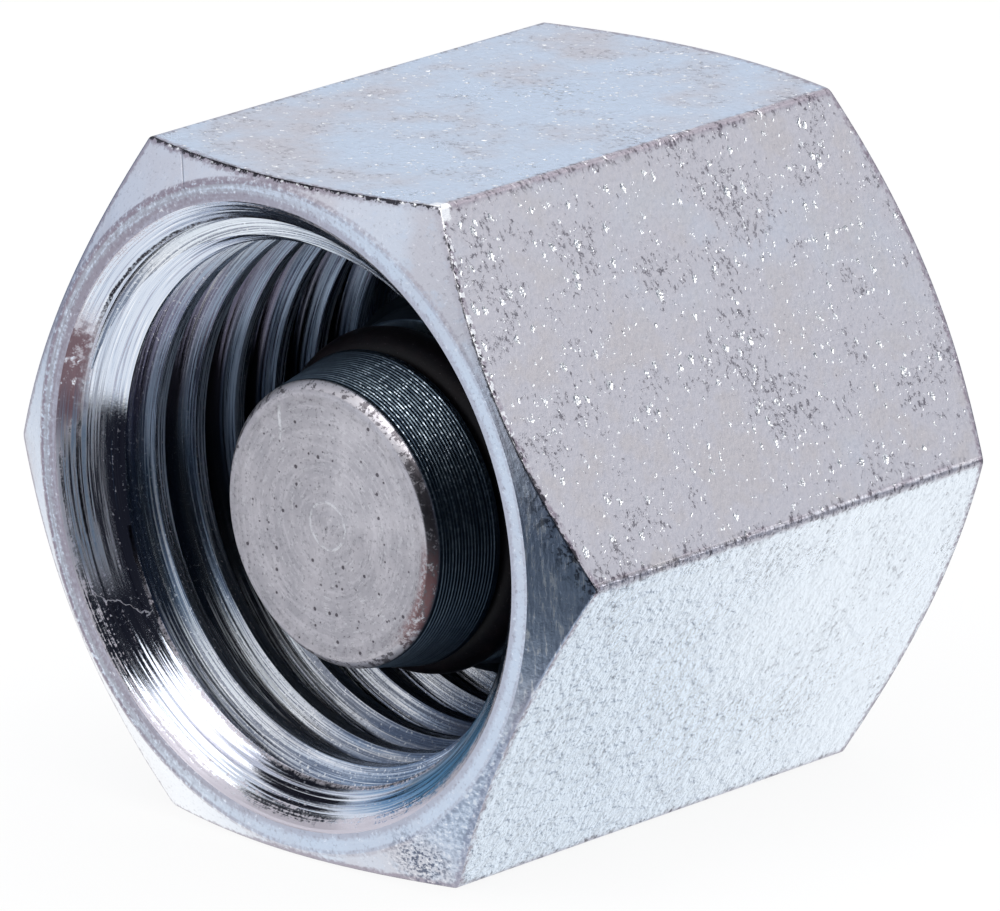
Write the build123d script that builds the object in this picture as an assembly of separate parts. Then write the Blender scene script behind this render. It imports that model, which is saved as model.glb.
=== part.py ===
from build123d import *
from math import radians, tan
import os

# Blanking plug with its union nut for a 24 degree cone tube fitting, for 8 mm tube, M16 x 1.5.
# Millimetres, +Z up. The nut lies on one flat with its axis along Y and its mouth towards -Y.
# The origin is the middle of the flat that it lies on.

# Union nut, outside
thread_diameter = 16.0
thread_pitch = 1.5
wall_over_thread = 1.35         # from the thread's major diameter to a flat
hex_edge_radius = 0.2           # along the six long edges of the bar
end_chamfer_angle = 28.5        # degrees from the end plane
end_chamfer_inset = 0.215       # from a flat in to the rim of the end ring

# Union nut, inside, from the mouth to the back
mouth_flare = 0.575             # 45 degree countersink, outside the thread's major diameter
thread_depth = 10.3             # from the mouth to the end of the full thread
relief_width = 1.2
relief_clearance = 0.1          # outside the thread's major diameter
seat_step = 0.55                # from the thread's minor diameter in to the seat's rim
seat_angle = 45.0               # degrees from the axis
tube_diameter = 8.0
tube_clearance = 0.1
rear_bore_length = 2.5
rear_bore_chamfer = 0.3

# Blanking plug, from its tip to its tail
tip_diameter = 7.77             # where the cone would meet the tip's plane
tip_chamfer = 0.25
cone_angle = 12.0               # degrees from the axis, half of the 24 degree cone
groove_start = 2.12             # from the tip
groove_corner_radius = 0.2
land_length = 1.1               # cone between the groove and the collar
collar_rise = 0.35              # the collar's 45 degree front edge
collar_length = 4.6
tail_clearance = 0.65           # between the tail and the nut's rear bore, all round
tail_length = 2.6
tail_chamfer = 0.4

# O-ring
seal_section = 1.5
seal_side_gap = 0.175           # between the ring and each wall of its groove
seal_proud = 0.22               # how far the ring stands above the cone
seal_floor_gap = 0.01

# How the loose plug lies in the nut
lying_gap = 0.02                # between the tail and the bore that it lies on
shoulder_gap = 0.49             # along the axis, from the collar's back edge to the seat

# Sizes that follow
thread_radius = thread_diameter / 2
minor_radius = (thread_diameter - thread_pitch) / 2
flat_distance = thread_radius + wall_over_thread
ring_radius = flat_distance - end_chamfer_inset
mouth_radius = thread_radius + mouth_flare
relief_radius = thread_radius + relief_clearance
seat_radius = minor_radius - seat_step
bore_radius = tube_diameter / 2 + tube_clearance
seat_slope = tan(radians(seat_angle))
seat_start = thread_depth + relief_width
seat_end = seat_start + (seat_radius - bore_radius) / seat_slope
nut_length = seat_end + rear_bore_length

cone_slope = tan(radians(cone_angle))
groove_width = seal_section + 2 * seal_side_gap
groove_middle = groove_start + groove_width / 2
groove_end = groove_start + groove_width
land_end = groove_end + land_length


def cone_radius(distance):
    """Radius of the sealing cone at a distance behind the tip."""
    return tip_diameter / 2 + distance * cone_slope


seal_outer_radius = cone_radius(groove_middle) + seal_proud
seal_ring_radius = seal_outer_radius - seal_section / 2
floor_radius = seal_outer_radius - seal_section - seal_floor_gap
collar_radius = cone_radius(land_end) + collar_rise
collar_start = land_end + collar_rise
collar_end = collar_start + collar_length
tail_radius = bore_radius - tail_clearance
tail_start = collar_end + (collar_radius - tail_radius) / seat_slope
tail_end = tail_start + tail_length

# The plug has dropped until its tail lies on the bore, and its shoulder stands off the seat.
plug_drop = tail_clearance - lying_gap
shoulder_contact = seat_start + (seat_radius - collar_radius - plug_drop) / seat_slope
tip_depth = shoulder_contact - shoulder_gap - collar_end

# Places: each piece is drawn about Z, from its front end, and laid down along Y.
lay_down = (-90, 0, 0)
nut_place = Location((0, -nut_length / 2, flat_distance), lay_down)
plug_place = Location((0, tip_depth - nut_length / 2, flat_distance - plug_drop), lay_down)


def turned(*points):
    """Solid of revolution about Z from an outline given as (radius, distance) points."""
    outline = Polyline(*[(radius, 0, distance) for radius, distance in points], close=True)
    return revolve(make_face(outline), Axis.Z)


def hex_bar():
    """Length of rounded hexagon bar."""
    hexagon = RegularPolygon(flat_distance, 6, major_radius=False)
    section = fillet(hexagon.vertices(), hex_edge_radius)
    return extrude(section, nut_length)


def end_chamfers():
    """Barrel whose two cones cut the chamfers on the corners of the bar."""
    reach = 2 * flat_distance
    fall = (reach - ring_radius) * tan(radians(end_chamfer_angle))
    return turned(
        (0, 0), (ring_radius, 0), (reach, fall), (reach, nut_length - fall),
        (ring_radius, nut_length), (0, nut_length),
    )


def nut_bore():
    """Countersink, thread at its minor diameter, relief, seat, rear bore and its chamfer."""
    flare_depth = mouth_radius - minor_radius
    return turned(
        (0, 0), (mouth_radius, 0), (minor_radius, flare_depth), (minor_radius, thread_depth),
        (relief_radius, thread_depth), (relief_radius, seat_start), (seat_radius, seat_start),
        (bore_radius, seat_end), (bore_radius, nut_length - rear_bore_chamfer),
        (bore_radius + rear_bore_chamfer, nut_length), (0, nut_length),
    )


def union_nut():
    return nut_place * (hex_bar() & end_chamfers() - nut_bore())


def seal_groove():
    """Ring cut out of the cone, with rounded corners at its floor."""
    depth = cone_radius(groove_end) - floor_radius + tip_chamfer
    section = Plane.XZ * Pos(floor_radius + depth / 2, groove_middle) * Rectangle(depth, groove_width)
    floor = section.vertices().group_by(Axis.X)[0]
    return revolve(fillet(floor, groove_corner_radius), Axis.Z)


def blanking_plug():
    face_radius = cone_radius(tip_chamfer) - tip_chamfer
    body = turned(
        (0, 0), (face_radius, 0), (cone_radius(tip_chamfer), tip_chamfer),
        (cone_radius(land_end), land_end), (collar_radius, collar_start), (collar_radius, collar_end),
        (tail_radius, tail_start), (tail_radius, tail_end - tail_chamfer),
        (tail_radius - tail_chamfer, tail_end), (0, tail_end),
    )
    return plug_place * (body - seal_groove())


def o_ring():
    return plug_place * Pos(0, 0, groove_middle) * Torus(seal_ring_radius, seal_section / 2)


pieces = {
    "union_nut": union_nut(),
    "blanking_plug": blanking_plug(),
    "o_ring": o_ring(),
}

os.makedirs("parts", exist_ok=True)
for name, piece in pieces.items():
    piece.label = name
    export_step(piece, f"parts/{name}.step")

print(f"across flats {2 * flat_distance:.2f}, nut length {nut_length:.2f}")
print(f"tip {tip_depth:.2f} behind the mouth, plug dropped {plug_drop:.2f}, plug length {tail_end:.2f}")
print(f"collar diameter {2 * collar_radius:.2f}, tail diameter {2 * tail_radius:.2f}")
print(f"plug axis height {flat_distance - plug_drop:.3f}, O-ring outer diameter {2 * seal_outer_radius:.2f}")
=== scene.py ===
import bpy
import bmesh
import random
from math import cos, degrees, pi, radians, sin, sqrt, tan
from mathutils import Matrix, Vector


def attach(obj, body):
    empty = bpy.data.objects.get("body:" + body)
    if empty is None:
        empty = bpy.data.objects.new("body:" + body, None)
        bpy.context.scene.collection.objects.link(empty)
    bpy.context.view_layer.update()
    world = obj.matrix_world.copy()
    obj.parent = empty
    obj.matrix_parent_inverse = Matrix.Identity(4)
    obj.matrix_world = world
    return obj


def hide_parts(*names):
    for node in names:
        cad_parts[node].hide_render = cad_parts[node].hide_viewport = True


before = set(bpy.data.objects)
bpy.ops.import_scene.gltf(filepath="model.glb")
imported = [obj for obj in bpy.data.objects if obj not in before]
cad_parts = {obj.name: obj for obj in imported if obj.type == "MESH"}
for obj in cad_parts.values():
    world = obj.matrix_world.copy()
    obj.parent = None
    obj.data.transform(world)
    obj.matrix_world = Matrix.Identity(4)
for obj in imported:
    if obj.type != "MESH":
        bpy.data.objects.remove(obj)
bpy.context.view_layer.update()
mm = 0.001
scene = bpy.context.scene


# shader maths

class Wire:  # a node's output, with which sums are written
    def __init__(self, paint, socket):
        self.paint = paint
        self.socket = socket

    def math(self, operation, *others):
        inputs = {0: self}
        for place, other in enumerate(others):
            inputs[place + 1] = other
        return self.paint.node("ShaderNodeMath", {"operation": operation}, inputs)

    def __add__(self, other):
        return self.math("ADD", other)

    __radd__ = __add__

    def __sub__(self, other):
        return self.math("SUBTRACT", other)

    def __rsub__(self, other):
        return self.math("MULTIPLY_ADD", -1.0, other)

    def __mul__(self, other):
        return self.math("MULTIPLY", other)

    __rmul__ = __mul__

    def __truediv__(self, other):
        return self.math("DIVIDE", other)

    def rise(self, low, high, start=0.0, end=1.0):  # a soft step
        return self.paint.node(
            "ShaderNodeMapRange", {"interpolation_type": "SMOOTHSTEP"},
            {"Value": self, "From Min": low, "From Max": high, "To Min": start, "To Max": end})

    def fall(self, low, high):
        return self.rise(low, high, 1.0, 0.0)

    def near(self, middle, reach):  # 1 within half the reach of the middle, 0 beyond it
        return (self - middle).math("ABSOLUTE").fall(reach / 2, reach)


class Paint:  # adds nodes to a material or to the world
    def __init__(self, owner):
        self.tree = owner.node_tree
        self.tree.nodes.clear()

    def node(self, kind, settings, inputs, output=0):
        made = self.tree.nodes.new(kind)
        for name, value in settings.items():
            setattr(made, name, value)
        for name, value in inputs.items():
            socket = made.inputs[name]
            if isinstance(value, Wire):
                self.tree.links.new(value.socket, socket)
            elif socket.type == "RGBA":
                socket.default_value = (*value, 1.0)
            else:
                socket.default_value = value
        if output is not None:
            return Wire(self, made.outputs[output])

    def vector(self, x, y, z):
        return self.node("ShaderNodeCombineXYZ", {}, {0: x, 1: y, 2: z})

    def split(self, vector):
        x = self.node("ShaderNodeSeparateXYZ", {}, {0: vector})
        return [x] + [Wire(self, x.socket.node.outputs[n]) for n in (1, 2)]

    def vectorMath(self, operation, first, second, output=0):
        return self.node("ShaderNodeVectorMath", {"operation": operation}, {0: first, 1: second}, output)

    def stretched(self, vector, x, y, z):
        return self.vectorMath("MULTIPLY", vector, (x, y, z))

    def millimetres(self, centre):
        place = self.node("ShaderNodeTexCoord", {}, {}, "Object")
        shifted = self.vectorMath("SUBTRACT", place, centre)
        return self.stretched(shifted, 1 / mm, 1 / mm, 1 / mm)

    def noise(self, vector, scale, detail=2.0, rough=0.5, output="Fac"):
        return self.node("ShaderNodeTexNoise", {}, {
            "Vector": vector, "Scale": scale, "Detail": detail, "Roughness": rough}, output)

    def cells(self, vector, scale):  # distance to the nearest point, and that cell's own number
        distance = self.node("ShaderNodeTexVoronoi", {}, {"Vector": vector, "Scale": scale}, "Distance")
        number = self.split(Wire(self, distance.socket.node.outputs["Color"]))[0]
        return distance / scale, number

    def blend(self, share, first, second):
        return self.node("ShaderNodeMix", {"data_type": "RGBA"}, {0: share, 6: first, 7: second}, 2)

    def bump(self, height):  # height in mm
        return self.node("ShaderNodeBump", {}, {"Height": height, "Distance": mm, "Strength": 1.0})

    def surface(self, colour, rough, normal, metallic=1.0, specular=0.5):
        shaded = self.node("ShaderNodeBsdfPrincipled", {}, {
            "Base Color": colour, "Roughness": rough, "Metallic": metallic, "Normal": normal,
            "Specular IOR Level": specular})
        self.node("ShaderNodeOutputMaterial", {}, {"Surface": shaded}, None)


def newMaterial(name):
    material = bpy.data.materials.new(name)
    material.use_nodes = True
    return material, Paint(material)


def tone(red, green, blue):  # a colour as a screen shows it, 0 to 255
    return tuple(((part / 255 + 0.055) / 1.055) ** 2.4 for part in (red, green, blue))


# modelling helpers

def deselectAll():
    if bpy.context.mode != "OBJECT":
        bpy.ops.object.mode_set(mode="OBJECT")
    bpy.ops.object.select_all(action="DESELECT")


def makeActive(piece):
    deselectAll()
    piece.select_set(True)
    bpy.context.view_layer.objects.active = piece


def pick(piece, kind, test):
    # enters edit mode and selects the vertices or edges that pass the test
    makeActive(piece)
    bpy.ops.object.mode_set(mode="EDIT")
    bpy.ops.mesh.select_mode(type=kind)
    bpy.ops.mesh.select_all(action="DESELECT")
    mesh = bmesh.from_edit_mesh(piece.data)
    for part in {"VERT": mesh.verts, "EDGE": mesh.edges}[kind]:
        if test(part):
            part.select_set(True)
    mesh.select_flush_mode()
    bmesh.update_edit_mesh(piece.data)


def applyModifier(piece, kind, **settings):
    makeActive(piece)
    modifier = piece.modifiers.new(kind.lower(), kind)
    for name, value in settings.items():
        setattr(modifier, name, value)
    bpy.ops.object.modifier_apply(modifier=modifier.name)


def cutWith(piece, tool, operation):
    applyModifier(
        piece, "BOOLEAN", operation=operation, solver="EXACT", material_mode="TRANSFER", object=tool)
    bpy.data.objects.remove(tool)


def turned(name, material, axisHeight, start, stations, segments):
    # a disc is extruded and resized from station to station along the axis: (radius, y) in mm
    radius, y = stations[0]
    deselectAll()
    bpy.ops.mesh.primitive_circle_add(
        vertices=segments, radius=radius * mm, fill_type="NGON",
        location=(0, (start + y) * mm, axisHeight * mm), rotation=(radians(90), 0, 0))
    piece = bpy.context.object
    piece.name = name
    piece.data.materials.append(material)
    bpy.ops.object.transform_apply()
    bpy.ops.object.mode_set(mode="EDIT")
    bpy.ops.mesh.select_all(action="SELECT")
    for nextRadius, nextY in stations[1:]:
        bpy.ops.mesh.extrude_region_move(TRANSFORM_OT_translate={"value": (0, (nextY - y) * mm, 0)})
        change = nextRadius / radius
        if change != 1:
            bpy.ops.transform.resize(
                value=(change, 1, change),
                center_override=(0, (start + nextY) * mm, axisHeight * mm))
        radius, y = nextRadius, nextY
    bpy.ops.mesh.select_all(action="SELECT")
    bpy.ops.mesh.normals_make_consistent(inside=False)
    bpy.ops.object.mode_set(mode="OBJECT")
    return piece


def smoothed(piece, angle):
    makeActive(piece)
    bpy.ops.object.shade_smooth_by_angle(angle=radians(angle))
    applyModifier(piece, "WEIGHTED_NORMAL", keep_sharp=True, weight=80)


# camera, from the corners and circles of the photograph

camera = {
    "target": (3.83, -3.85, 10.80),  # mm
    "distance": 340.4,
    "azimuth": 44.98,
    "elevation": 17.03,
    "roll": -1.51,
    "lens": 464.3,
}


def makeCamera():
    azimuth, elevation = radians(camera["azimuth"]), radians(camera["elevation"])
    back = Vector((sin(azimuth) * cos(elevation), -cos(azimuth) * cos(elevation), sin(elevation)))
    data = bpy.data.cameras.new("camera")
    data.lens = camera["lens"]
    data.sensor_width = 36
    data.clip_start, data.clip_end = 0.01, 10
    made = bpy.data.objects.new("camera", data)
    scene.collection.objects.link(made)
    turn = (-back).to_track_quat("-Z", "Y").to_matrix() @ Matrix.Rotation(radians(camera["roll"]), 3, "Z")
    made.matrix_world = turn.to_4x4()
    made.location = (Vector(camera["target"]) + back * camera["distance"]) * mm
    scene.camera = made


makeCamera()
scene.view_settings.view_transform = "Standard"
print("camera placed")


# light: a white room with soft bright and dark panels, the darkest of them behind the camera

room = {
    "high": (0.90, 0.92, 0.97),
    "level": (0.74, 0.79, 0.88),
    "low": (1.0, 1.03, 1.07),
    "lowEdge": (-0.45, -0.1),  # sine of the elevation where low turns to level, and then level to high
    "highEdge": (0.1, 0.6),
    "background": (1.0, 1.0, 1.0),
    "floorSize": 3,  # m
    "floorDrop": 0.02,  # mm below the flat that the nut lies on
    "floorGrey": 0.9,
    "floorWhite": 0.9,  # share of the background's white in the floor that the camera sees
    "panels": [  # azimuth from the mouth's side, elevation, reach and softness in degrees, colour, share
        (-104, 2, 14, 5, (0.14, 0.28, 0.46), 0.9),
        (173, -14, 17, 9, (0.22, 0.25, 0.32), 1.0),
        (139, -6, 15, 8, (0.25, 0.26, 0.30), 1.0),
        (-135, -14, 14, 6, (0.25, 0.26, 0.30), 1.0),
        (139, 62, 14, 3, (2.2, 2.2, 2.25), 1.0),
        (-135, 52, 12, 3, (2.2, 2.2, 2.25), 1.0),
        (62, 52, 10, 2, (2.4, 2.4, 2.4), 1.0),
        (46, 3, 37, 4, (0.012, 0.013, 0.020), 1.0),
        (13, -17, 15, 5, (0.042, 0.066, 0.104), 1.0),
        (36, 32, 20, 2, (0.012, 0.013, 0.020), 1.0),
        (10, -21, 15, 5, (0.066, 0.088, 0.116), 0.9),
        (-100, -27, 12, 5, (1.05, 1.07, 1.10), 1.0),
        (-89, 57, 26.5, 2, (0.012, 0.012, 0.018), 1.0),
        (40, 74, 33.5, 2, (2.4, 2.4, 2.45), 1.0),
    ],
}


def makeRoom():
    world = bpy.data.worlds.new("room")
    scene.world = world
    world.use_nodes = True
    paint = Paint(world)
    way = paint.node("ShaderNodeTexCoord", {}, {}, "Generated")
    height = paint.split(way)[2]

    def panel(azimuth, elevation, reach, soft):  # a round panel's share in what a direction shows
        flat = cos(radians(elevation))
        centre = (sin(radians(azimuth)) * flat, -cos(radians(azimuth)) * flat, sin(radians(elevation)))
        along = paint.vectorMath("DOT_PRODUCT", way, centre, "Value")
        return along.rise(cos(radians(reach + soft)), cos(radians(reach - soft)))

    colour = paint.blend(height.rise(*room["lowEdge"]), room["low"], room["level"])
    colour = paint.blend(height.rise(*room["highEdge"]), colour, room["high"])
    for azimuth, elevation, reach, soft, glow, share in room["panels"]:
        colour = paint.blend(panel(azimuth, elevation, reach, soft) * share, colour, glow)
    seen = paint.node("ShaderNodeLightPath", {}, {}, "Is Camera Ray")
    shown = paint.blend(seen, colour, room["background"])
    light = paint.node("ShaderNodeBackground", {}, {"Color": shown, "Strength": 1.0})
    paint.node("ShaderNodeOutputWorld", {}, {"Surface": light}, None)


def makeFloor():
    deselectAll()
    bpy.ops.mesh.primitive_plane_add(size=room["floorSize"], location=(0, 0, -room["floorDrop"] * mm))
    floor = bpy.context.object
    floor.name = "floor"
    floor.visible_glossy = False  # the room's own lower half is what the metal shows
    material, paint = newMaterial("paleFloor")
    seen = paint.node("ShaderNodeLightPath", {}, {}, "Is Camera Ray")
    grey = room["floorGrey"]
    plain = paint.node("ShaderNodeBsdfDiffuse", {}, {"Color": (grey, grey, grey)})
    white = paint.node("ShaderNodeEmission", {}, {"Color": room["background"], "Strength": 1.0})
    mixed = paint.node("ShaderNodeMixShader", {}, {0: seen * room["floorWhite"], 1: plain, 2: white})
    paint.node("ShaderNodeOutputMaterial", {}, {"Surface": mixed}, None)
    floor.data.materials.append(material)


makeRoom()
makeFloor()
print("light and floor placed")


# union nut; radii and depths in mm, angles in degrees, clockwise from up as seen from the mouth

nut = {
    "acrossFlats": 18.7,
    "length": 16.6,
    "edgeRadius": 0.2,
    "endRing": 9.135,  # this and the next four are radii
    "mouth": 8.575,
    "minor": 7.25,
    "major": 8.07,
    "relief": 8.1,
    "endAngle": 28.5,
    "rootRounding": 0.06,
    "pitch": 1.5,
    "threadPhase": 0.735,  # depth of a groove's middle at the top
    "threadDepth": 10.3,
    "reliefWidth": 1.2,
    "seat": 6.7,  # radii of the seat's rim and of the bore behind it
    "rearBore": 4.1,
    "rearChamfer": 0.3,  # at 45 degrees, as the seat is
    "segments": 256,
    "threadSteps": 192,  # to a turn
    "tapInset": 0.25,  # the tap starts this far inside the crests
    "tapOverrun": 0.45,  # and ends this far into the relief
    "smoothBelow": 14,  # less than the bend from the countersink to the thread's flank
    "colours": {
        "cool": tone(206, 219, 235),
        "warm": tone(207, 204, 209),
        "pale": tone(240, 248, 255),
        "beige": tone(206, 199, 197),
        "machined": tone(212, 218, 229),
        "turned": tone(216, 222, 232),
        "flank": tone(158, 176, 200),
        "dull": tone(164, 162, 170),
        "dirt": tone(150, 136, 148),
        "speck": tone(104, 100, 108),
        "black": tone(40, 38, 46),
        "brown": tone(118, 92, 100),
        "purple": tone(150, 138, 156),
        "teal": tone(66, 96, 112),
        "deep": tone(28, 38, 60),
        "navy": tone(62, 78, 106),
        "blue": tone(84, 138, 178),
        "dust": tone(208, 203, 211),
        "slate": tone(104, 124, 146),
        "sheet": tone(226, 222, 228),
        "sky": tone(166, 184, 208),
        "white": (1.0, 1.0, 1.0),
    },
    # sectors: the middle, how far to either side they are at full strength, and where they have faded
    "topLeftChamfer": (335, 30, 60),
    "palestChamfer": (222, 14, 44),
    "soiledRing": (285, 50, 110),
    "cleanEdge": (52, 20, 45),
    "darkCorner": (92, 10, 26),
    "mottledCorner": (131, 8, 24),
    "stain": (287, 7, 18),
    "blueCone": (132, 22, 42),
    "blueShade": (134, 10, 24),
    "dustyCone": (174, 24, 48),
    "cleanCone": (330, 34, 50),
    "dustyBurr": (190, 45, 62),
    "slateCone": (264, 10, 24),
    "roughLens": (285, 34, 37),
    "roughCone": (268, 12, 22),
    "crestHighlights": (300, 34, 64),
    "tealThread": (248, 14, 32),
    "purpleThread": (294, 14, 32),
    "purpleDepths": (298, 12, 34),
    "navyThread": (165, 24, 50),
    "blueThread": (140, 20, 50),
    "whiteAbove": (334, 14, 34),
    "whiteBelow": (212, 10, 26),
    "brightDepths": (215, 18, 40),
    "crestHighlightAbove": (308, 22, 50),
    "crestHighlightBelow": (256, 20, 40),
    "paleAbove": (348, 14, 32),
    "paleBelow": (221, 8, 22),
    # small marks: places from the middle of the nut, or an angle and a radius
    "brightEdge": (7.3, -7.6, 6.6),
    "cornerBurrHighlight": (5.4, -7.4, 9.3),
    "scuff": (4.6, -7.9, -8.6),
    "scratch": (-7.2, 9.5),
    "hair": (183.5, 7.95),
    "brownest": 283,  # within the stain
    "lensRadius": 7.9,  # of the middle of the lens-shaped rough patch
    "lensHalf": 36,  # from its middle to its tips
}
nutFront = -nut["length"] / 2
nutAxis = nut["acrossFlats"] / 2
climb = nut["pitch"] / 360  # of the thread, for each degree round the axis
cos30 = cos(radians(30))
tan30 = tan(radians(30))  # of the hexagon's half corners, and of the thread's flanks


def makeBar(material):
    spare = 2  # length that the barrel cuts off
    deselectAll()
    bpy.ops.mesh.primitive_cylinder_add(
        vertices=6, radius=nutAxis / cos30 * mm, depth=(nut["length"] + spare) * mm,
        location=(0, 0, nutAxis * mm), rotation=(radians(90), radians(30), 0))
    bar = bpy.context.object
    bar.data.materials.append(material)
    bpy.ops.object.transform_apply()
    pick(bar, "EDGE", lambda edge: abs(edge.verts[0].co.y - edge.verts[1].co.y) > mm)
    bpy.ops.mesh.bevel(offset=nut["edgeRadius"] * tan30 * mm, segments=5)
    bpy.ops.object.mode_set(mode="OBJECT")
    return bar


def makeBarrel(material):
    reach = nutAxis * 1.3  # past the bar's corners
    fall = (reach - nut["endRing"]) * tan(radians(nut["endAngle"]))
    length = nut["length"]
    stations = [(nut["endRing"], 0), (reach, fall), (reach, length - fall), (nut["endRing"], length)]
    return turned("barrel", material, nutAxis, nutFront, stations, nut["segments"])


def makeBoreTool(material):
    over = 0.5  # how far the tool stands out at each end
    flare = nut["mouth"] - nut["minor"]
    reliefEnd = nut["threadDepth"] + nut["reliefWidth"]
    seatEnd = reliefEnd + nut["seat"] - nut["rearBore"]
    length = nut["length"]
    stations = [
        (nut["mouth"] + over, -over), (nut["minor"], flare), (nut["minor"], nut["threadDepth"]),
        (nut["relief"], nut["threadDepth"]), (nut["relief"], reliefEnd), (nut["seat"], reliefEnd),
        (nut["rearBore"], seatEnd), (nut["rearBore"], length - nut["rearChamfer"]),
        (nut["rearBore"] + nut["rearChamfer"] + over, length + over),
    ]
    return turned("boreTool", material, nutAxis, nutFront, stations, nut["segments"])


def makeTap(material):
    inner = nut["minor"] - nut["tapInset"]
    crest = nut["pitch"] / 8  # half of the flat left on each crest of the nut
    halfBase = nut["pitch"] / 2 - crest + (nut["minor"] - inner) * tan30
    halfTop = halfBase - (nut["major"] - inner) * tan30
    start = nut["threadPhase"] - 2 * nut["pitch"]
    turns = (nut["threadDepth"] + nut["tapOverrun"] - start) / nut["pitch"]
    steps = round(turns * nut["threadSteps"])
    middle = (0, (nutFront + start) * mm, nutAxis * mm)
    deselectAll()
    bpy.ops.mesh.primitive_plane_add(
        size=2 * halfBase * mm, location=middle, rotation=(0, radians(90), 0))
    tap = bpy.context.object
    tap.data.materials.append(material)
    bpy.ops.object.transform_apply(location=False)
    pick(tap, "VERT", lambda corner: corner.co.z > 0)
    bpy.ops.transform.translate(value=(0, 0, (nut["major"] - halfBase) * mm))
    bpy.ops.transform.resize(value=(1, halfTop / halfBase, 1), center_override=middle)
    bpy.ops.mesh.select_all(action="INVERT")
    bpy.ops.transform.translate(value=(0, 0, (inner + halfBase) * mm))
    bpy.ops.mesh.select_all(action="INVERT")
    bpy.ops.mesh.bevel(offset=nut["rootRounding"] * mm, segments=3, affect="VERTICES")
    bpy.ops.mesh.select_all(action="SELECT")
    bpy.ops.mesh.delete(type="ONLY_FACE")
    bpy.ops.object.mode_set(mode="OBJECT")
    applyModifier(
        tap, "SCREW", axis="Y", angle=turns * 2 * pi, screw_offset=turns * nut["pitch"] * mm,
        iterations=1, steps=steps, render_steps=steps, use_smooth_shade=False)
    pick(tap, "EDGE", lambda edge: edge.is_boundary)
    bpy.ops.mesh.fill()
    bpy.ops.mesh.select_all(action="SELECT")
    bpy.ops.mesh.normals_make_consistent(inside=False)
    bpy.ops.object.mode_set(mode="OBJECT")
    return tap


# places and marks for the finishes

def flatSides(x, z):  # how far out a point is towards each pair of flats
    return [z, x * cos30 + z * 0.5, x * cos30 - z * 0.5]


def outermost(x, z):
    sides = [side.math("ABSOLUTE") for side in flatSides(x, z)]
    return sides[0].math("MAXIMUM", sides[1]).math("MAXIMUM", sides[2])


def around(x, z):  # radius, and the angle clockwise from up in degrees, -105 to 255
    radius = (x * x + z * z).math("SQRT")
    angle = x.math("ARCTAN2", z) * degrees(1)
    return radius, angle.math("WRAP", 255.0, -105.0)


def aside(angle, middle):  # how many degrees to either side of the middle
    return (angle - middle).math("WRAP", 180.0, -180.0).math("ABSOLUTE")


def sector(angle, stretch):  # 1 in a sector, 0 beyond it
    middle, full, faded = stretch
    return aside(angle, middle).fall(full, faded)


def awayFrom(paint, place, point):
    return paint.vectorMath("DISTANCE", place, point, "Value")


def roundedBump(distance, reach, slope):  # leans the surface over towards an edge
    inside = (reach - distance).math("MAXIMUM", 0.0)
    return inside * inside * (-slope / (2 * reach))


def pitted(paint, place, scale, size):  # cone-shaped pits of uneven size
    distance, number = paint.cells(place, scale)
    inside = number.rise(0.15, 1.0) * size - distance
    return inside.math("MAXIMUM", 0.0), inside.rise(-0.008, 0.012)


def startNutPaint(name):
    material, paint = newMaterial(name)
    place = paint.millimetres((0, 0, nutAxis * mm))
    return (material, paint, place, *paint.split(place))


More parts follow.
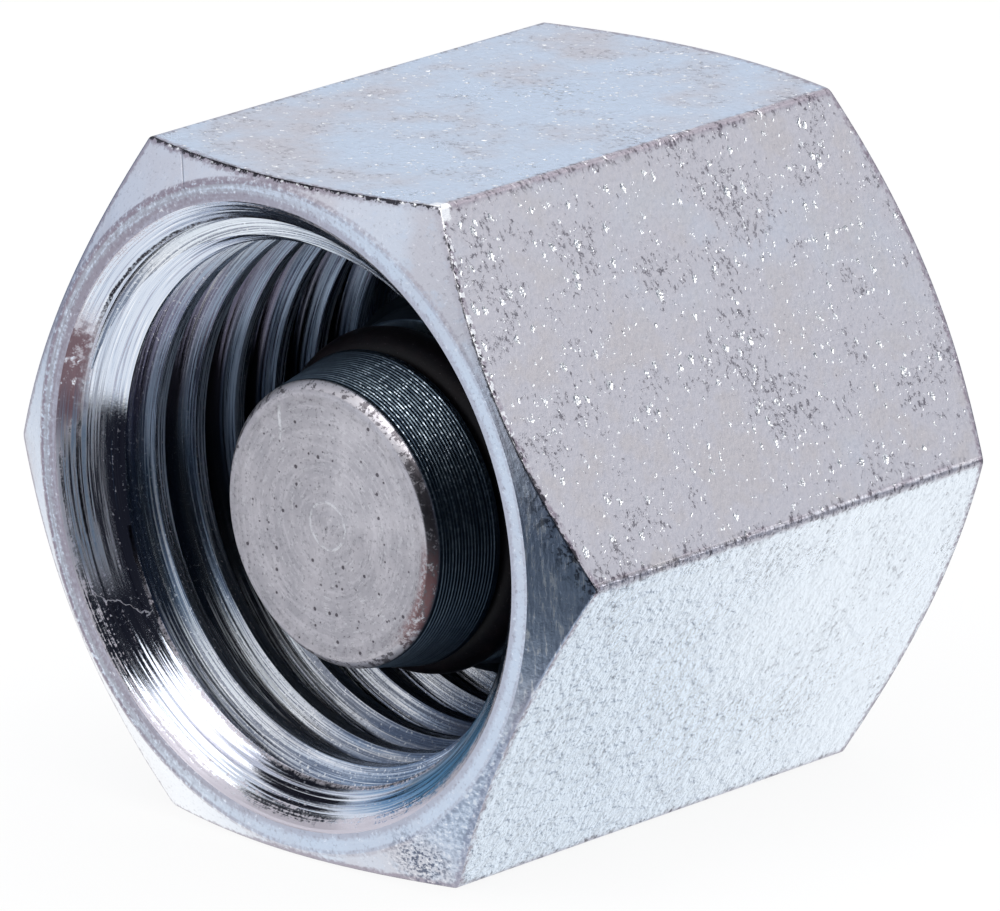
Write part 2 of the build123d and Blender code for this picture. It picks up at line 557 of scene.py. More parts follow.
def paintFlats():
    material, paint, place, x, y, z = startNutPaint("flatZinc")
    colours = nut["colours"]
    upward, upperRight, lowerRight = flatSides(x, z)
    sides = [side.math("ABSOLUTE") for side in (upward, upperRight, lowerRight)]
    smallest = sides[0].math("MINIMUM", sides[1]).math("MINIMUM", sides[2])
    second = sides[0] + sides[1] + sides[2] - outermost(x, z) - smallest
    longEdge = (nutAxis - second) / cos30  # distance to the nearest long edge
    radius = (x * x + z * z).math("SQRT")
    rise = (radius - nut["endRing"]) * tan(radians(nut["endAngle"]))
    endEdge = nut["length"] / 2 - y.math("ABSOLUTE") - rise  # distance to the chamfer's edge
    onTop, onUpper, onLower = [
        side.rise(nutAxis - 0.15, nutAxis - 0.05) for side in (upward, upperRight, lowerRight)]
    front = y.fall(-5.0, 0.0)

    # marks run across the bar, so the grain is finer along it
    grain = paint.stretched(place, 1.0, 1.4, 1.0)
    wobble = paint.noise(place, 8.0, 1.0, 0.6, "Color")
    bent = paint.vectorMath("ADD", grain, paint.vectorMath("MULTIPLY", wobble, (0.25, 0.25, 0.25)))
    cloud = paint.noise(place, 0.2, 2.0, 0.55)
    crowd = paint.noise(place, 0.55, 3.0, 0.65)
    fine = paint.noise(grain, 7.0, 2.0, 0.5)
    grit = paint.noise(grain, 5.0, 4.0, 0.65)
    relief = paint.noise(place, 3.0, 2.0, 0.55)
    curl = paint.noise(place, 3.6, 3.0, 0.7)

    # tint; the lower flat painted paler, and whiter where it is smooth, as a painted reflection; then
    # smudges and fine strokes
    warmth = (cloud * 0.6 + crowd * 0.4 + onUpper * 0.2 - onLower * 0.16).rise(0.43, 0.66)
    colour = paint.blend(warmth, colours["cool"], colours["warm"])
    # painted reflection: the lower flat paler, and whiter towards its smooth end
    colour = paint.blend(onLower * 0.9, colour, colours["pale"])
    rugged = onLower * (y + z * 0.7 + cloud * 8.0).fall(-5.0, 7.0)
    colour = paint.blend(rugged * 0.15, colour, colours["cool"])
    colour = paint.blend((onLower - rugged) * 0.35, colour, colours["white"])
    colour = paint.blend(onUpper * crowd.fall(0.36, 0.50) * 0.5, colour, colours["beige"])
    crowded = crowd.rise(0.46, 0.60)
    wisps = curl.near(0.5, 0.04) * (grit + crowded * 0.16).rise(0.62, 0.72)
    strokes = wisps * (onUpper * 0.3 + onTop * 0.2 + 0.3) + (grit + crowded * 0.10).rise(0.66, 0.76) * 0.7
    strokes = strokes.math("MINIMUM", 0.85) * (1.0 - onLower * 0.4 - onTop * 0.35)
    colour = paint.blend(strokes, colour, colours["speck"])
    colour = paint.blend(fine.rise(0.5, 0.66) * 0.08, colour, colours["speck"])

    # pits and dents, painted white as glints, a painted highlight, except on the lower flat, where they
    # are painted darker
    largest = crowded * 0.04 + onUpper * 0.05 - onLower * 0.04 + 0.075
    pits, inPits = pitted(paint, bent, 2.0, largest)
    dents, inDents = pitted(paint, bent, 4.2, onUpper * 0.02 + onTop * 0.025 + 0.04)
    hollow = inPits + inDents
    colour = paint.blend(hollow * (1.0 - onLower), colour, colours["white"])
    colour = paint.blend(hollow * onLower * 0.5, colour, colours["speck"])

    # dirt along the edges, then, at the edge of the mouth's chamfer, a ragged painted dark reflection,
    # painted highlights as bright blobs, and a burr painted white as its highlight
    soiled = (longEdge - crowd * 0.45 - grit * 0.3 + 0.28).fall(-0.05, 0.16)
    colour = paint.blend(soiled * 0.6, colour, colours["dirt"])
    colour = paint.blend(longEdge.fall(0.08, 0.4) * grit.rise(0.53, 0.62) * 0.6, colour, colours["black"])
    soiled = (endEdge - fine * 0.3).fall(-0.08, 0.08) * (grit.rise(0.40, 0.56) * 0.6 + 0.2)
    colour = paint.blend(soiled, colour, colours["dirt"])
    ragged = paint.noise(place, 3.6, 4.0, 0.75)
    # painted dark reflection along the front of the chamfer's edge, broken by ragged noise
    dark = (endEdge - ragged.rise(0.42, 0.64) * 0.13).fall(-0.02, 0.02) * front * (onUpper + onTop * 0.6)
    colour = paint.blend(dark * 0.9, colour, colours["black"])
    # painted highlights in blobs along the chamfer's edge, near the bright corner
    blobs = (endEdge - paint.noise(place, 5.4, 2.0, 0.6).rise(0.51, 0.58) * 0.17).fall(-0.02, 0.02)
    lit = awayFrom(paint, place, nut["brightEdge"]).fall(3.0, 4.6) * 0.9
    colour = paint.blend(blobs * lit, colour, colours["white"])
    # the corner burr painted white as its highlight
    burr = awayFrom(paint, place, nut["cornerBurrHighlight"]) + ragged * 0.6
    colour = paint.blend(burr.fall(0.60, 0.72), colour, colours["white"])

    height = relief * (rugged * 0.18 + onLower * 0.05 + 0.014) + fine * 0.006
    height = height + grit * (rugged * 0.04 + onLower * 0.02 + 0.02)
    height = height - wisps * 0.006 - pits * 0.5 - dents * 0.4 + roundedBump(endEdge, 0.06, 0.5)
    rough = cloud * 0.1 + 0.23
    paint.surface(colour, rough, paint.bump(height))
    return material


def paintEnds():
    material, paint, place, x, _, z = startNutPaint("endZinc")
    colours = nut["colours"]
    radius, angle = around(x, z)
    upward, upperRight, _ = flatSides(x, z)
    cloud = paint.noise(place, 0.35, 2.0, 0.55)
    fine = paint.noise(place, 9.0, 4.0, 0.65)
    spots = paint.noise(place, 5.0, 4.0, 0.7)
    wearAndSheen = paint.noise(place, 1.6, 5.0, 0.7)
    ringed = paint.vector(x / radius * 2.5, z / radius * 2.5, radius * 14.0)
    lines = paint.noise(ringed, 1.0, 3.0, 0.5)

    # tint, the chamfer painted paler upper left and white lower left as painted light and a painted
    # highlight, and the ring inside the chamfer
    colour = paint.blend(cloud.rise(0.42, 0.60) * 0.8, colours["turned"], colours["warm"])
    colour = paint.blend(wearAndSheen.rise(0.52, 0.66) * 0.4, colour, colours["cool"])
    # painted light: paler upper left, and a white painted highlight lower left
    colour = paint.blend(sector(angle, nut["topLeftChamfer"]) * 0.4, colour, colours["sheet"])
    chamferHighlight = sector(angle, nut["palestChamfer"])
    colour = paint.blend(chamferHighlight * 0.8, colour, colours["white"])
    onRing = radius.fall(nut["endRing"] - 0.03, nut["endRing"] + 0.03)
    colour = paint.blend(onRing * 0.6, colour, colours["cool"])
    leftSide = sector(angle, nut["soiledRing"])
    dulled = onRing * leftSide * (fine * 0.5 + lines * 0.5).rise(0.38, 0.54)
    colour = paint.blend(dulled * 0.8, colour, colours["dull"])
    rim = (radius - nut["mouth"] - fine * 0.4 - wearAndSheen * 0.2 - leftSide * 0.1 + 0.16).fall(-0.06, 0.12)
    colour = paint.blend(rim * (leftSide * 0.2 + 0.4), colour, colours["dirt"])
    crease = radius.near(nut["endRing"], 0.13) * (fine * 0.6 + spots * 0.4).rise(0.40, 0.52)
    colour = paint.blend(crease * (leftSide * 0.55 + 0.3), colour, colours["dirt"])

    # dirt along the bar's sides, then a ragged painted dark reflection along its top and upper right
    # edges, and painted highlights in spots along the top edge
    edge = nutAxis - outermost(x, z)
    soiled = (edge - spots * 0.4 + chamferHighlight * 0.1 + 0.08).fall(-0.04, 0.08)
    soiled = soiled * (0.75 - sector(angle, nut["cleanEdge"]) * 0.55)
    colour = paint.blend(soiled, colour, colours["dirt"])
    ragged = paint.noise(place, 4.4, 5.0, 0.75)
    # painted dark reflection along the edges, and painted highlights in spots
    topEdge = nutAxis - upward - ragged.rise(0.38, 0.62) * 0.11
    colour = paint.blend(topEdge.fall(-0.015, 0.02) * 0.95, colour, colours["black"])
    bright = paint.noise(place, 4.6, 2.0, 0.5).rise(0.60, 0.64) * (nutAxis - upward).fall(0.03, 0.10)
    colour = paint.blend(bright, colour, colours["white"])
    upperEdge = nutAxis - upperRight - ragged.rise(0.44, 0.66) * 0.09
    colour = paint.blend(upperEdge.fall(-0.015, 0.015) * 0.75, colour, colours["black"])

    # painted dark reflection: the corner that shows the dark, painted darker and bluer, streaked, and
    # black in spots near the upper right flat; then the mottled one below it, a scuff and a scratch
    darkSide = sector(angle, nut["darkCorner"]) * (1.0 - onRing)
    colour = paint.blend(darkSide * 0.8, colour, colours["sky"])
    upright = paint.noise(paint.stretched(place, 9.0, 9.0, 1.5), 1.0, 4.0, 0.7)
    colour = paint.blend(darkSide * upright.rise(0.48, 0.62) * 0.3, colour, colours["navy"])
    colour = paint.blend(darkSide * upright.fall(0.36, 0.46) * 0.7, colour, colours["white"])
    cornered = (nutAxis - upperRight).fall(0.1, 0.8) * spots.rise(0.50, 0.58)
    colour = paint.blend(darkSide * cornered * 0.8, colour, colours["black"])
    mottled = sector(angle, nut["mottledCorner"]) * (1.0 - onRing)
    colour = paint.blend(mottled * 0.6, colour, colours["flank"])
    colour = paint.blend(mottled * (fine + spots).rise(0.98, 1.10) * 0.35, colour, colours["navy"])
    colour = paint.blend(mottled * (fine + spots).fall(0.84, 0.94) * 0.35, colour, colours["white"])
    scuffed = awayFrom(paint, place, nut["scuff"]).fall(0.3, 1.3)
    colour = paint.blend(scuffed * fine.rise(0.50, 0.58) * 0.85, colour, colours["navy"])
    colour = paint.blend(scuffed * fine.fall(0.36, 0.42) * 0.9, colour, colours["white"])
    scratchAngle, scratchRadius = nut["scratch"]
    scratch = (angle + radius * 1.5).near(scratchAngle, 0.25) * radius.near(scratchRadius, 0.7)
    colour = paint.blend(scratch * 0.4, colour, colours["speck"])
    colour = paint.blend(fine.rise(0.56, 0.70) * 0.3, colour, colours["speck"])
    colour = paint.blend(fine.fall(0.30, 0.38) * 0.5, colour, colours["white"])

    height = lines * 0.004 + fine * 0.004 + wearAndSheen * 0.014 + spots * 0.006 + scuffed * fine * 0.03
    height = height - scratch * 0.01 + roundedBump(edge, 0.05, 0.5)
    paint.surface(colour, fine * 0.1 + 0.24, paint.bump(height))
    return material


def turnedLines(paint, across, up, line):
    # line is the place across the tool marks; the crisp ones are for colour, the others for relief too
    crisp = paint.noise(paint.vector(across * 1.3, up * 1.3, line), 1.0, 4.0, 0.72)
    soft = paint.noise(paint.vector(across * 1.3, up * 1.3, line * 0.6 + 9.0), 1.0, 1.0, 0.4)
    broad = paint.noise(paint.vector(across, up, line * 0.18 + 4.0), 1.0, 1.0, 0.4)
    return crisp, soft, broad


def threadRise(angle):  # how far the thread climbs round to an angle, from 60 degrees on
    return angle.math("WRAP", 420.0, 60.0) * climb


def grooveDepth(angle):  # depth of the first groove's middle
    return angle * climb + nut["threadPhase"]


def paintBore():
    material, paint, place, x, y, z = startNutPaint("boreZinc")
    colours = nut["colours"]
    depth = y + nut["length"] / 2
    radius, angle = around(x, z)
    across, up = x / radius, z / radius
    onCone = depth.fall(1.36, 1.42)
    sweep = (depth - threadRise(angle)) * (1.0 - onCone)  # on the crests, tool lines follow the thread
    crisp, soft, broad = turnedLines(paint, across, up, (radius - sweep) * 22.0)
    dots = paint.noise(place, 12.0, 3.0, 0.65)
    wearAndSheen = paint.noise(place, 3.0, 4.0, 0.7)
    tint = paint.noise(paint.vector(across * 1.3, up * 1.3, radius * 1.2), 1.0, 2.0)

    # tool lines, tints with a blue painted reflection, and where the stain is
    colour = paint.blend(broad.rise(0.35, 0.65), colours["turned"], colours["machined"])
    colour = paint.blend((1.0 - onCone) * 0.6, colour, colours["flank"])
    colour = paint.blend(crisp.rise(0.50, 0.58) * 0.5, colour, colours["flank"])
    colour = paint.blend(crisp.rise(0.56, 0.62) * 0.5, colour, colours["dirt"])
    colour = paint.blend(crisp.fall(0.36, 0.44) * 0.7, colour, colours["white"])
    colour = paint.blend(tint.rise(0.54, 0.7) * 0.3, colour, colours["purple"])
    stain = sector(angle, nut["stain"]) * (depth - wearAndSheen * 0.5).fall(0.05, 0.4)
    stained = stain * (dots * 0.4 + wearAndSheen * 0.6).rise(0.30, 0.44)
    # painted reflection: blue on the cone in its sector
    bluish = sector(angle, nut["blueCone"]) * (crisp * 0.6 + broad * 0.6).rise(0.5, 0.64)
    colour = paint.blend(bluish * 0.9, colour, colours["blue"])

    # dust that doesn't shine: along the mouth's edge, in spots, on the first groove's burr, as a hair
    # and in the stain
    streaks = crisp * 0.7 + wearAndSheen * 0.3 + tint * 0.3 + dots * 0.2 - 0.25
    streaks = streaks + sector(angle, nut["dustyCone"]) * 0.06
    cleaner = sector(angle, nut["cleanCone"]) * 0.09
    edgeDust = (streaks - cleaner + (0.2 - depth) * 0.55).rise(0.49, 0.56)
    spotDust = (dots * 0.5 + crisp * 0.5).rise(0.57, 0.64) * 0.6
    halfOpening = nut["pitch"] * 3 / 8
    burrRadius = nut["mouth"] + halfOpening + nut["minor"] * tan30 - grooveDepth(angle)
    burrRadius = burrRadius / (1 + tan30)  # where the groove's flank runs out in the countersink
    burrRadius = burrRadius.math("MAXIMUM", nut["minor"] + 0.02).math("MINIMUM", nut["major"] + 0.05)
    burr = radius - burrRadius - (wearAndSheen - 0.5) * 0.12
    lower = sector(angle, nut["dustyBurr"])
    broken = (dots * 0.5 + wearAndSheen * 0.5).rise(0.40, 0.56)
    # painted shade: a dark line where the groove's flank runs out in the countersink
    darkLine = onCone * burr.near(0.04, 0.05) * (broken * 0.6 + 0.4)
    colour = paint.blend(darkLine, colour, colours["black"])
    burrDust = onCone * burr.near(0.02, 0.08) * broken * lower * 0.7
    bend = paint.noise(place, 3.0, 2.0, 0.5)
    hairAngle, hairRadius = nut["hair"]
    hair = (angle - radius * 7.5 + bend * 6.0).near(hairAngle, 0.22)
    hair = hair * radius.near(hairRadius, 0.7) * onCone
    dust = (edgeDust * onCone + spotDust + burrDust + hair * 0.5 + stained).math("MINIMUM", 1.0)
    slaty = sector(angle, nut["slateCone"]) * depth.near(0.45, 0.55) * crisp.rise(0.40, 0.56)
    dust = (dust + slaty * 0.8).math("MINIMUM", 1.0)
    # painted reflections, in shares that show their own colour more than what they reflect: blue in one
    # sector, and a pale sky painted highlight on the crests
    blueSide = sector(angle, nut["blueShade"]) * (1.0 - dust) * (crisp.fall(0.42, 0.58) * 0.6 + 0.2)
    crest = (1.0 - onCone) * crisp.fall(0.44, 0.58) * (sector(angle, nut["crestHighlights"]) * 0.45 + 0.1)

    brownish = stained * (wearAndSheen + aside(angle, nut["brownest"]) * -0.02).rise(0.16, 0.34)
    dustColour = paint.blend(brownish, colours["dust"], colours["brown"])
    dustColour = paint.blend(slaty, dustColour, colours["slate"])
    colour = paint.blend(dust, colour, dustColour)
    # painted shade: darker deeper into the bore
    colour = paint.blend(depth.rise(1.5, 9.0, 0.0, 0.4), colour, colours["black"])
    # the painted blue reflection and the crests' painted highlight
    colour = paint.blend(blueSide, colour, colours["blue"])
    colour = paint.blend(crest * 1.6, colour, colours["sky"])
    height = crisp * 0.002 + soft * 0.012 + broad * 0.034 + dots * 0.0015

    pastLens = aside(angle, nut["roughLens"][0]) - nut["lensHalf"]
    lens = (radius - nut["lensRadius"]).math("ABSOLUTE") - pastLens * -0.005
    streaky = lens.fall(-0.02, 0.05) * crisp.rise(0.42, 0.54) * sector(angle, nut["roughLens"])
    rough = soft.rise(0.35, 0.65, 0.06, 0.13) + streaky * 0.22 + (1.0 - onCone) * 0.12
    outerHalf = depth.fall(0.5, 0.65) * sector(angle, nut["roughCone"])
    rough = rough + outerHalf * crisp.rise(0.40, 0.56) * 0.25
    paint.surface(colour, rough, paint.bump(height), 1.0 - dust * 0.8 - blueSide - crest)
    return material


def paintThread():
    material, paint, place, x, y, z = startNutPaint("threadZinc")
    colours = nut["colours"]
    depth = y + nut["length"] / 2
    radius, angle = around(x, z)
    across, up = x / radius, z / radius
    sweep = depth - threadRise(angle)
    crisp, soft, broad = turnedLines(paint, across, up, (radius - sweep) * 13.0)
    dots = paint.noise(place, 12.0, 3.0, 0.65)
    tint = paint.noise(paint.vector(across * 1.6 + y * 0.5, up * 1.6, radius * 2.2), 1.0, 2.0)
    open = depth.fall(1.0, 2.2)
    root = radius.rise(nut["minor"] + 0.3, nut["major"] - 0.08)

    # painted reflections round the axis as teal, purple and blue tints and white highlights; then tool
    # lines, a painted navy shadow, painted shade in the roots, dots, and painted shade deeper in with a
    # purple painted reflection there
    colour = paint.blend(broad.rise(0.35, 0.65), colours["flank"], colours["turned"])
    # painted reflections: teal, purple and blue tints and white highlights in their sectors
    colour = paint.blend(sector(angle, nut["tealThread"]) * 0.75, colour, colours["teal"])
    purple = tint.rise(0.44, 0.60) * sector(angle, nut["purpleThread"])
    colour = paint.blend(purple * 0.7, colour, colours["purple"])
    bluish = sector(angle, nut["blueThread"]) * (crisp * 0.5 + tint * 0.5).rise(0.40, 0.56)
    colour = paint.blend(bluish * 0.45, colour, colours["blue"])
    colour = paint.blend(sector(angle, nut["whiteAbove"]) * 0.85, colour, colours["white"])
    colour = paint.blend(sector(angle, nut["whiteBelow"]) * 0.8, colour, colours["white"])
    colour = paint.blend(crisp.rise(0.49, 0.54) * 0.7, colour, colours["navy"])
    colour = paint.blend(crisp.fall(0.38, 0.44) * 0.85, colour, colours["white"])
    shadow = sector(angle, nut["navyThread"]) * tint.rise(0.40, 0.56)
    colour = paint.blend(shadow * 0.4, colour, colours["navy"])
    # painted shade in the roots, lighter near the mouth
    colour = paint.blend(root * (0.75 - open * 0.5), colour, colours["navy"])
    colour = paint.blend(dots.rise(0.58, 0.68) * 0.5, colour, colours["deep"])
    colour = paint.blend(dots.fall(0.34, 0.40) * 0.7, colour, colours["white"])
    # painted shade deeper in, less in one sector, with a purple painted reflection
    shaded = depth.rise(1.2, 6.0, 0.0, 0.85) * (1.0 - sector(angle, nut["brightDepths"]) * 0.8)
    colour = paint.blend(shaded, colour, colours["deep"])
    purplish = sector(angle, nut["purpleDepths"]) * (1.0 - open) * tint.rise(0.42, 0.58)
    colour = paint.blend(purplish * 0.3, colour, colours["purple"])

    # painted shade on the flanks that face away from the mouth; on those that face it, a painted
    # highlight near the crests and pale painted highlights in streaks
    facing = ((depth - grooveDepth(angle)) / nut["pitch"]).math("FRACT").fall(0.48, 0.52)
    colour = paint.blend((1.0 - facing) * (1.0 - open) * 0.8, colour, colours["deep"])
    # painted highlight near the crests, and pale painted highlights in streaks
    nearCrest = radius.fall(nut["minor"] + 0.08, nut["minor"] + 0.45) * crisp.fall(0.45, 0.58) * facing
    crestHighlightSides = sector(angle, nut["crestHighlightAbove"]) * 0.6 + sector(angle, nut["crestHighlightBelow"]) * 0.25
    wearAndSheen = nearCrest * crestHighlightSides
    paleAbove = sector(angle, nut["paleAbove"]) * depth.fall(2.6, 5.4) * crisp.fall(0.46, 0.60)
    paleBelow = sector(angle, nut["paleBelow"]) * crisp.fall(0.41, 0.50)
    pale = (paleAbove * 0.5 + paleBelow * 0.4) * facing
    colour = paint.blend((wearAndSheen * 1.5).math("MINIMUM", 1.0), colour, colours["sky"])
    colour = paint.blend((pale * 1.6).math("MINIMUM", 1.0), colour, colours["pale"])
    height = crisp * 0.003 + soft * 0.010 + broad * 0.030 + dots * 0.0015
    paint.surface(colour, soft.rise(0.35, 0.65, 0.10, 0.20), paint.bump(height), 0.85 - wearAndSheen * 0.8 - pale)
    return material


def makeNut():
    made = makeBar(paintFlats())
    cutWith(made, makeBarrel(paintEnds()), "INTERSECT")
    cutWith(made, makeBoreTool(paintBore()), "DIFFERENCE")
    cutWith(made, makeTap(paintThread()), "DIFFERENCE")
    smoothed(made, nut["smoothBelow"])
    made.name = "nut"
    print("nut made,", len(made.data.polygons), "faces")
    return made


nutPiece = makeNut()
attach(nutPiece, "nut")
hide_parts("union_nut")


# blanking plug; depths are from its face

plug = {
    "front": -6.5527,  # y of the face
    "axis": 8.72,  # height
    "faceRadius": 3.688,
    "tipRadius": 3.885,  # where the cone would meet the tip's plane
    "tipChamfer": 0.25,
    "coneAngle": 12,
    "edge": 0.03,  # reach of its small roundings
    "centreMark": [  # radius and depth
        (0.02, 0.006), (0.14, 0.003), (0.22, 0.004), (0.27, -0.006), (0.33, 0.003), (0.46, 0.0),
    ],
    "ringSpacing": (0.08, 0.2),  # between the rings that the lathe left on the face
    "ringHeight": 0.0006,
    "grooveStart": 2.12,
    "grooveWidth": 1.85,
    "floorRadius": 3.2426,  # of the O-ring's groove
    "floorCorner": 0.2,
    "landEnd": 5.07,
    "collarRise": 0.35,
    "collarLength": 4.6,
    "tailRadius": 3.45,
    "tailLength": 2.6,
    "tailChamfer": 0.4,
    "toolStart": 0.04,  # fine turned grooves on the cone, from behind the tip's chamfer
    "toolPitch": 0.098,
    "toolDepth": 0.008,
    "toolBite": (0.3, 1.2),  # least and greatest share of that depth
    "segments": 224,
    "smoothBelow": 25,
    "colours": {
        "face": tone(202, 197, 200),
        "pale": tone(224, 219, 222),
        "grey": tone(184, 180, 184),
        "side": tone(172, 190, 200),
        "groove": tone(70, 84, 98),
        "gap": tone(34, 44, 56),
        "pit": tone(78, 72, 78),
        "brown": tone(138, 100, 100),
        "glint": tone(226, 240, 250),
        "white": (1.0, 1.0, 1.0),
    },
    "brownRim": (112, 12, 32),  # sectors, as on the nut
    "darkRim": (88, 24, 44),
    "lit": (45, 24, 60),
    "sparkling": (36, 20, 40),
    "whiteRing": 0.70,  # radii of a bright ring round the centre mark and of a dull one near the rim
    "dullRing": 3.45,
    "nick": (-1.55, 2.55),  # from the face's middle, to the right and up
}


def coneRadius(depth):
    return plug["tipRadius"] + depth * tan(radians(plug["coneAngle"]))


def plugStations():  # radius and depth, from the middle of the face to the tail's end
    draw = random.Random(8)
    edge = plug["edge"]
    face = list(plug["centreMark"])
    radius = face[-1][0]
    least, most = plug["ringSpacing"]
    while radius < plug["faceRadius"] - most:
        radius += draw.uniform(least, most)
        face.append((radius, draw.uniform(-plug["ringHeight"], plug["ringHeight"])))
    face.append((plug["faceRadius"], 0.0))

    tip, pitch = plug["tipChamfer"], plug["toolPitch"]
    rim = coneRadius(tip)
    chamfer = [(plug["faceRadius"] + edge, 0.012), (rim - edge, tip - 0.045), (rim, tip)]
    cone = []
    depth = tip + plug["toolStart"]
    while depth < plug["grooveStart"] - pitch:
        bite = plug["toolDepth"] * draw.uniform(*plug["toolBite"])
        outer = coneRadius(depth)
        cone += [(outer, depth), (outer - bite, depth + pitch * 0.42), (outer, depth + pitch * 0.8)]
        depth += pitch

    start, end = plug["grooveStart"], plug["grooveStart"] + plug["grooveWidth"]
    floor, corner = plug["floorRadius"], plug["floorCorner"]
    cornerCut = corner * 0.3  # halfway round the rounded corner
    lean = 0.001  # of the groove's walls
    groove = [
        (coneRadius(start), start),
        (floor + corner, start + lean),
        (floor + cornerCut, start + cornerCut),
        (floor, start + corner),
        (floor, end - corner),
        (floor + cornerCut, end - cornerCut),
        (floor + corner, end - lean),
        (coneRadius(end) - 0.04, end - lean),
        (coneRadius(end) + 0.005, end + 0.02),
        (coneRadius(end + 0.06), end + 0.06),
    ]

    land, tail = plug["landEnd"], plug["tailRadius"]
    collar = coneRadius(land) + plug["collarRise"]
    collarStart = land + plug["collarRise"]
    collarEnd = collarStart + plug["collarLength"]
    tailStart = collarEnd + collar - tail
    tailEnd = tailStart + plug["tailLength"]
    back = [
        (coneRadius(land), land),
        (collar - edge, collarStart - edge),
        (collar, collarStart + 0.02),
        (collar, collarEnd - edge),
        (collar - edge, collarEnd + 0.02),
        (tail, tailStart),
        (tail, tailEnd - plug["tailChamfer"]),
        (tail - plug["tailChamfer"], tailEnd),
    ]
    return face + chamfer + cone + groove + back


def paintPlug(plugEnd):  # the tail's end, as a depth
    material, paint = newMaterial("plugZinc")
    colours = plug["colours"]
    place = paint.millimetres((0, plug["front"] * mm, plug["axis"] * mm))
    x, depth, z = paint.split(place)
    radius, angle = around(x, z)
    across, up = x / radius, z / radius
    onFace = depth.fall(0.01, 0.04) + depth.rise(plugEnd - 0.04, plugEnd - 0.01)
    onCone = depth.fall(plug["grooveStart"], plug["grooveStart"] + 0.1)
    rings = paint.noise(paint.vector(across * 1.4, up * 1.4, radius * 7.0), 1.0, 4.0, 0.6)
    lathe = paint.noise(paint.vector(across * 0.7, up * 0.7, depth * 9.0 + radius * 4.0), 1.0, 4.0, 0.7)
    cloud = paint.noise(place, 0.9, 4.0, 0.65)
    fine = paint.noise(place, 9.0, 4.0, 0.7)
    coarse = paint.noise(place, 4.2, 4.0, 0.7)

    # the face, with its rings and a nick
    face = paint.blend(cloud.rise(0.36, 0.66), colours["grey"], colours["face"])
    face = paint.blend((rings * 0.6 + coarse * 0.4).rise(0.48, 0.60) * 0.45, face, colours["pale"])
    face = paint.blend((coarse * 0.5 + fine * 0.5).rise(0.50, 0.62) * 0.35, face, colours["pit"])
    face = paint.blend(fine.rise(0.60, 0.66) * 0.45, face, colours["pit"])
    ring = (radius + cloud * 0.1).near(plug["whiteRing"], 0.05) * coarse.rise(0.38, 0.52)
    arcs = rings.near(0.5, 0.02) * coarse.rise(0.46, 0.6)
    nickX, nickZ = plug["nick"]
    nick = (x + cloud * 0.3).near(nickX, 0.07) * z.near(nickZ, 0.6) * coarse.rise(0.36, 0.5)
    face = paint.blend(ring * 0.4 + arcs * 0.3 + nick * 0.5, face, colours["white"])
    dull = radius.near(plug["dullRing"], 0.16) * coarse.rise(0.42, 0.56)
    face = paint.blend(dull * 0.2, face, colours["pit"])

    # the cone and what lies behind it, painted lighter where lit and darker elsewhere as painted light,
    # with painted shade in the tool grooves, darker dashes breaking up the lit part, and painted glints
    # on the ridges
    lit = sector(angle, plug["lit"])
    side = paint.blend(lathe.rise(0.42, 0.66), colours["side"], colours["groove"])
    side = paint.blend(coarse.rise(0.46, 0.58) * 0.5, side, colours["groove"])
    side = paint.blend((1.0 - lit) * 0.85, side, colours["groove"])
    toolPhase = (depth - plug["tipChamfer"] - plug["toolStart"]) / plug["toolPitch"]
    ridge = toolPhase.math("FRACT").rise(0.66, 0.84)
    # painted shade in the grooves between the tool's ridges
    side = paint.blend((1.0 - ridge) * onCone * 0.5, side, colours["gap"])
    dashes = paint.noise(paint.vector(across * 34.0, up * 34.0, depth * 11.0), 1.0, 2.0, 0.6)
    broken = dashes.fall(0.46, 0.56) * lit * onCone
    side = paint.blend(broken * 0.6, side, colours["groove"])
    sparkling = dashes.rise(0.56, 0.64) * sector(angle, plug["sparkling"])
    side = paint.blend(sparkling * onCone * (ridge * 0.8 + 0.2), side, colours["glint"])

    # both, with pits in the face and a worn rim, pale and speckled, with painted shade darkening it on
    # the right, and a brown tint
    colour = paint.blend(onFace, side, face)
    distance, number = paint.cells(place, 3.6)
    pits = distance + coarse * 0.06 - number.rise(0.30, 1.0) * 0.056 - 0.03
    pits = pits.fall(-0.012, 0.012) * onFace
    colour = paint.blend(pits * 0.85, colour, colours["pit"])
    onRim = depth.rise(0.0, 0.03) * depth.fall(0.22, 0.28)
    colour = paint.blend(onRim * 0.9, colour, colours["pale"])
    shaded = sector(angle, plug["darkRim"]) * 0.14
    colour = paint.blend(onRim * (coarse + shaded).rise(0.50, 0.57) * 0.8, colour, colours["pit"])
    tinted = sector(angle, plug["brownRim"]) * radius.rise(3.4, 3.65) * (fine + coarse).rise(0.84, 1.04)
    colour = paint.blend(tinted * depth.fall(0.2, 0.26) * 0.8, colour, colours["brown"])
    height = rings * 0.004 + lathe * 0.003 + cloud * 0.006 + fine * 0.003 + coarse * 0.006
    height = height - pits * 0.01 + ring * 0.006 + nick * 0.01
    rough = onFace * 0.08 + fine * 0.06 + (1.0 - lit) * 0.18 + broken * 0.06 + 0.26
    paint.surface(colour, rough, paint.bump(height))
    return material


def makePlug():
    stations = plugStations()
    material = paintPlug(stations[-1][1])
    made = turned("plug", material, plug["axis"], plug["front"], stations, plug["segments"])
    smoothed(made, plug["smoothBelow"])
    print("plug made,", len(made.data.polygons), "faces")
    return made


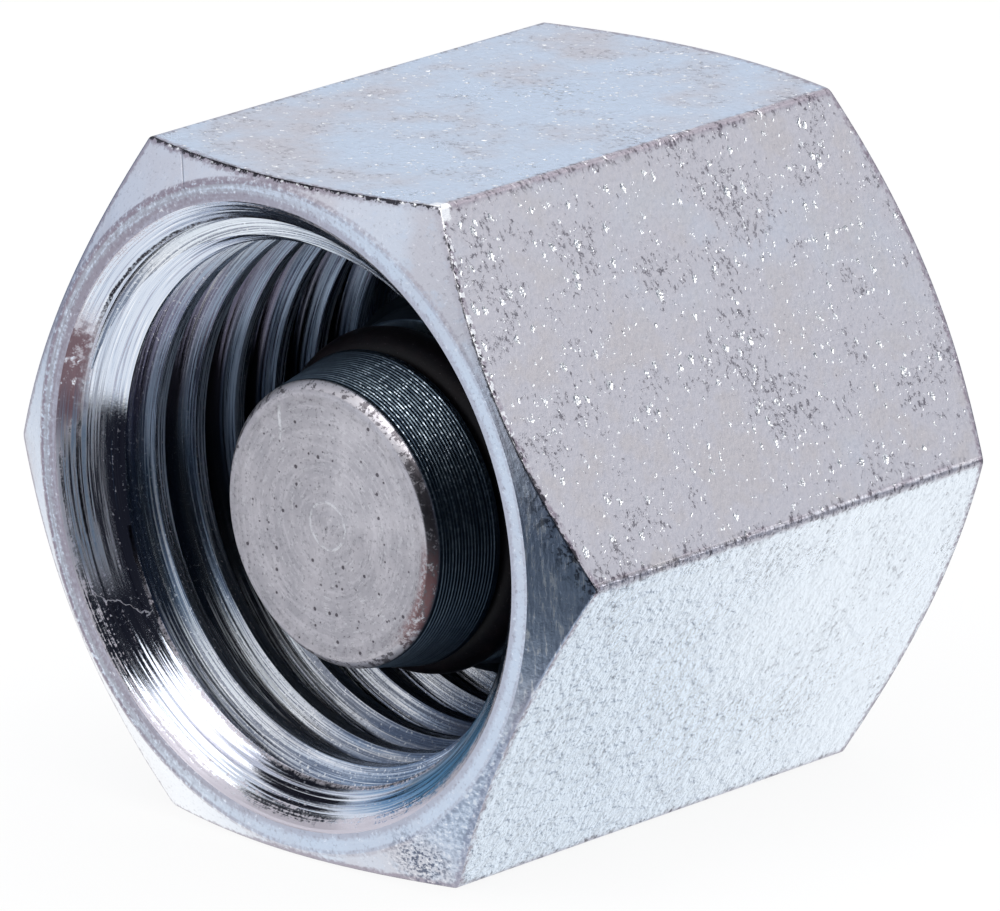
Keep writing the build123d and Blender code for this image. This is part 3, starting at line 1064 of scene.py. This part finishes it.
plugPiece = makePlug()
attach(plugPiece, "plug")
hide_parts("blanking_plug")


# O-ring

seal = {
    "middle": -3.5077,  # y of its centre
    "ringRadius": 4.0026,
    "section": 0.75,  # radius
    "flash": 0.012,  # height of the moulding line round its outside
    "segments": (192, 40),  # round the ring, and round its section
    "smoothBelow": 40,
    "colours": {
        "black": tone(17, 14, 18),
        "wearAndSheen": tone(26, 19, 22),
        "dust": tone(84, 78, 82),
    },
}


def paintSeal():
    material, paint = newMaterial("sealRubber")
    colours = seal["colours"]
    place = paint.millimetres((0, seal["middle"] * mm, plug["axis"] * mm))
    cloud = paint.noise(place, 2.0, 3.0, 0.6)
    dust = paint.noise(place, 14.0, 2.0, 0.6)
    colour = paint.blend(cloud.rise(0.4, 0.7), colours["black"], colours["wearAndSheen"])
    colour = paint.blend(dust.rise(0.66, 0.72) * 0.4, colour, colours["dust"])
    paint.surface(colour, cloud * 0.2 + 0.36, paint.bump(cloud * 0.01 + dust * 0.003), 0.0, 0.2)
    return material


def makeSeal():
    centre = (0, seal["middle"] * mm, plug["axis"] * mm)
    outer = seal["ringRadius"] + seal["section"]
    aroundRing, aroundSection = seal["segments"]
    deselectAll()
    bpy.ops.mesh.primitive_torus_add(
        major_segments=aroundRing, minor_segments=aroundSection, major_radius=seal["ringRadius"] * mm,
        minor_radius=seal["section"] * mm, location=centre, rotation=(radians(90), 0, 0))
    made = bpy.context.object
    made.name = "seal"
    made.data.materials.append(paintSeal())
    bpy.ops.object.transform_apply()
    nearOuter = outer * mm * 0.9999
    pick(made, "VERT", lambda v: sqrt(v.co.x ** 2 + (v.co.z - centre[2]) ** 2) > nearOuter)
    grow = 1 + seal["flash"] / outer
    bpy.ops.transform.resize(value=(grow, 1, grow), center_override=centre)
    bpy.ops.object.mode_set(mode="OBJECT")
    smoothed(made, seal["smoothBelow"])
    print("O-ring made,", len(made.data.polygons), "faces")
    return made


sealPiece = makeSeal()
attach(sealPiece, "plug")
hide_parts("o_ring")
